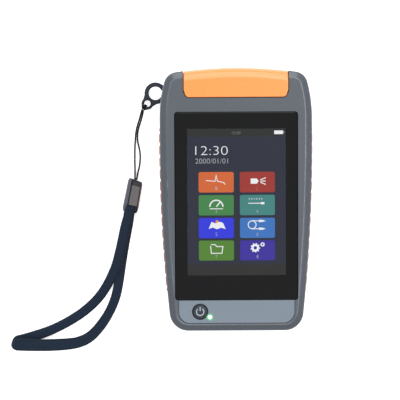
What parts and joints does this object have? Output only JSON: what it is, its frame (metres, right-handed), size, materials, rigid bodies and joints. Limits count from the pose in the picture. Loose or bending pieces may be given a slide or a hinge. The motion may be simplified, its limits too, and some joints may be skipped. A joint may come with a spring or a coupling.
{
  "type": "optical time domain reflectometer",
  "caption": "Handheld optical fibre tester with a touch display, key panel, hinged dust cover over the optical ports, ribbed side grips and a wrist strap on a ring.",
  "frame": {"origin": "on the surface that the instrument lies on, under the middle of the case", "axes": "+Z out of the screen, +Y towards the dust cover over the optical ports, +X to the right of the screen"},
  "size_m": [0.1572, 0.1453, 0.0353],
  "materials": {
    "case_grey": "fine matte texture",
    "orange_shell": "satin",
    "orange_rubber": "matte",
    "black_rubber": "matte",
    "screen_glass": "gloss",
    "display": "lit display",
    "panel_grey": "satin",
    "button_grey": "satin",
    "clear_plastic": "clear",
    "steel": "brushed",
    "dark_steel": "black oxide",
    "brass": "turned",
    "nickel": "plated",
    "ceramic": "polished",
    "board_green": "solder mask",
    "chip_black": "matte",
    "black_plastic": "matte",
    "polyimide": "satin",
    "cell_wrap": "shrink film",
    "foam": "open foam",
    "wire": "matte",
    "module_alu": "bead blasted",
    "fibre_yellow": "satin",
    "strap_plastic": "satin",
    "strap_fabric": "twill weave",
    "buckle_grey": "fine matte texture"
  },
  "bodies": {
    "case": {"front_shell": "case_grey", "rear_shell": "case_grey", "case_seal": "black_rubber", "side_grip_left": "orange_rubber", "side_grip_right": "orange_rubber", "touch_glass": "screen_glass", "glass_adhesive": "black_rubber", "lcd_module": "display", "mid_frame": "steel", "key_panel": "panel_grey", "tact_switch": "black_plastic", "light_pipe": "clear_plastic", "status_led": "clear_plastic", "main_board": "board_green", "board_chips": "chip_black", "shield_can": "nickel", "buzzer": "black_plastic", "board_standoffs": "brass", "board_screws": "steel", "ribbon_connector": "black_plastic", "display_ribbon": "polyimide", "battery_pack": "cell_wrap", "battery_foam": "foam", "battery_leads": "wire", "battery_socket": "ceramic", "module_foam": "foam", "optical_module": "module_alu", "fibre_guide": "black_plastic", "fibre_pigtail": "fibre_yellow", "port_panel": "black_plastic", "panel_screws": "dark_steel", "test_port_adapter": "nickel", "ferrule_sleeve": "ceramic", "power_meter_adapter": "black_plastic", "fault_finder_adapter": "black_plastic", "photodiode": "nickel", "fault_finder_laser": "brass", "usb_socket": "nickel", "case_screws": "dark_steel", "threaded_inserts": "brass", "rear_feet": "black_rubber", "strap_post": "steel", "hinge_pin": "steel"},
    "cover": {"dust_cover": "orange_shell"},
    "button": {"power_button": "button_grey", "switch_plunger": "black_plastic"},
    "strap": {"strap_ring": "strap_plastic", "strap_knot": "strap_fabric", "strap_string_left": "strap_fabric", "strap_string_right": "strap_fabric", "strap_buckle": "buckle_grey", "strap_band": "strap_fabric"}
  },
  "joints": [
    {"name": "cover_hinge", "type": "hinge", "parent": "case", "child": "cover", "pos_m": [0, 0.0614, 0.0052], "axis": [-1, 0, 0], "range_deg": [0, 90]},
    {"name": "button_press", "type": "slide", "parent": "case", "child": "button", "axis": [0, 0, -1], "range_m": [0, 0.0005], "stiffness_N_per_m": 3000, "springref_m": -0.0003},
    {"name": "ring_swing", "type": "hinge", "parent": "case", "child": "strap", "pos_m": [-0.03555, 0.0546, 0.0056], "axis": [0, 0, 1], "range_deg": [-10, 8]}
  ]
}
